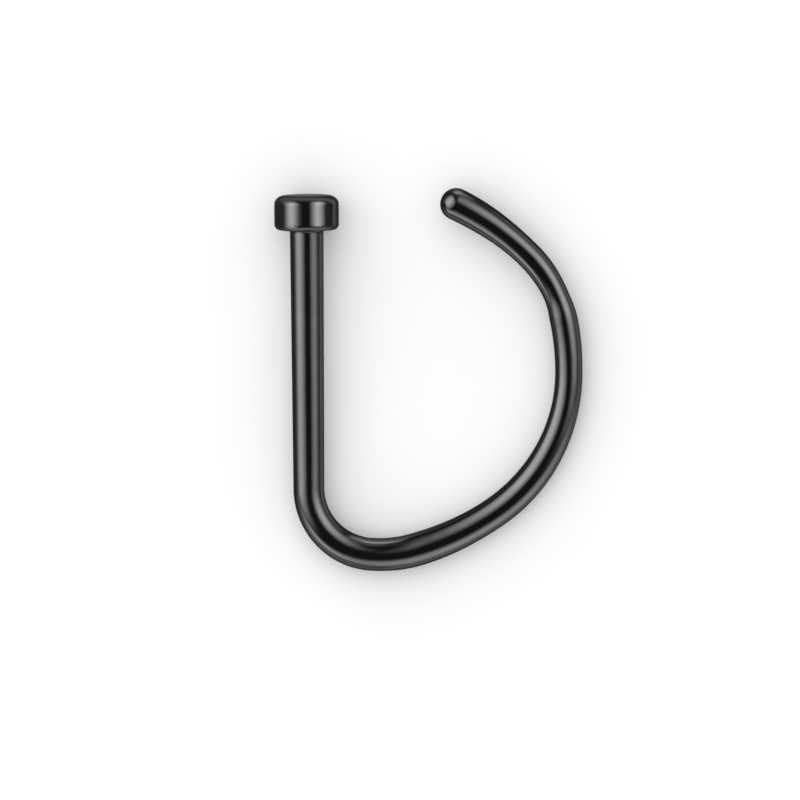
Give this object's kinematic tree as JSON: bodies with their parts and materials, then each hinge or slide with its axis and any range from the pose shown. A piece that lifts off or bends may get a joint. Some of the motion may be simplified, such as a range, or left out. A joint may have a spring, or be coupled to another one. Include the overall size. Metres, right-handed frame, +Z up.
{
  "type": "clip-on nose ring",
  "caption": "D-shaped open nose hoop in glossy black coated steel wire, with a straight post under a flat disc head and a rounded tip.",
  "frame": {"origin": "centre of the footprint of the ring as it lies on its side, on the surface it rests on", "axes": "+Z up, away from the surface; +Y along the post, towards the disc head; +X from the post towards the rounded side of the hoop"},
  "size_m": [0.0092, 0.0114, 0.002],
  "materials": {
    "coated_steel": "high gloss black coating over polished steel"
  },
  "bodies": {
    "root": {"nose_hoop": "coated_steel"}
  },
  "joints": []
}
